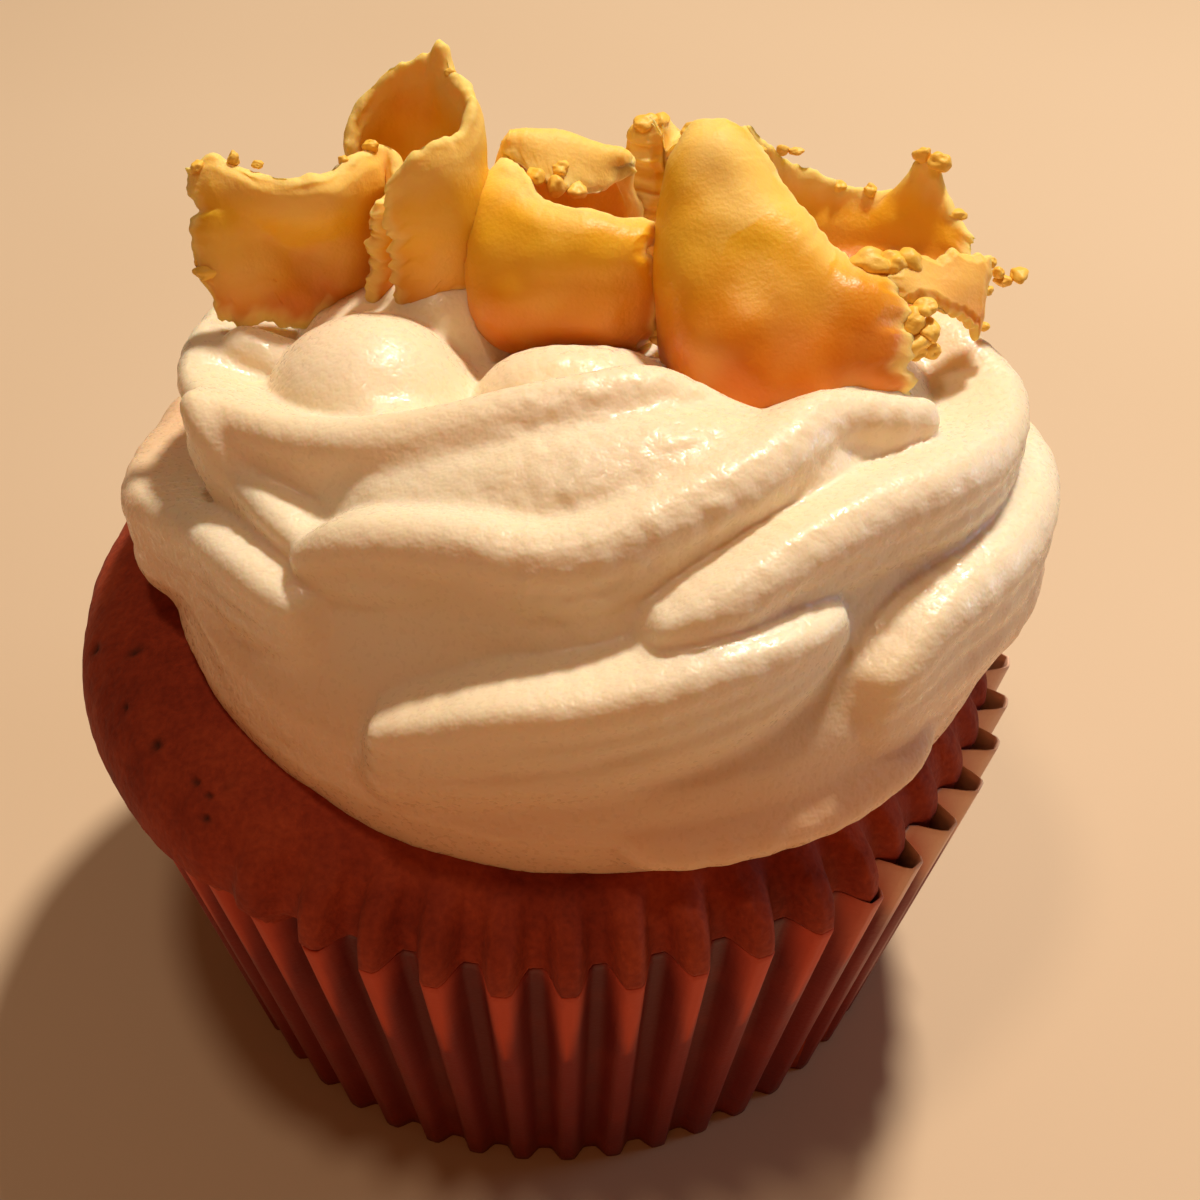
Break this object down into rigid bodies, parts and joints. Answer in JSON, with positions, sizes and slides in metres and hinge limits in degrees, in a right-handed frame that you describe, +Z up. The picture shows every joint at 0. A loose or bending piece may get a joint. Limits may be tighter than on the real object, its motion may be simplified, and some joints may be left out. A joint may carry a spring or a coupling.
{
  "type": "cupcake",
  "caption": "Cupcake in a pleated paper case, topped with a piped buttercream swirl and upright shavings of white chocolate.",
  "frame": {"origin": "centre of the paper case's flat underside", "axes": "+Z up; -Y is the front of the cake as it was pictured; +X is to the right of it"},
  "size_m": [0.0714, 0.07, 0.0719],
  "materials": {
    "case_paper": "matte greaseproof paper, dusty pink, darker where the cake's fat has soaked in",
    "baked_sponge": "matte baked crumb with fine pores",
    "buttercream": "soft satin cream with fine beaded wet glints",
    "white_chocolate": "waxy satin, pale where it is broken"
  },
  "bodies": {
    "root": {"paper_case": "case_paper", "sponge": "baked_sponge", "buttercream": "buttercream", "shaving_left": "white_chocolate", "shaving_tall": "white_chocolate", "shaving_centre": "white_chocolate", "shaving_back": "white_chocolate", "shaving_right": "white_chocolate", "shaving_tip": "white_chocolate"}
  },
  "joints": []
}
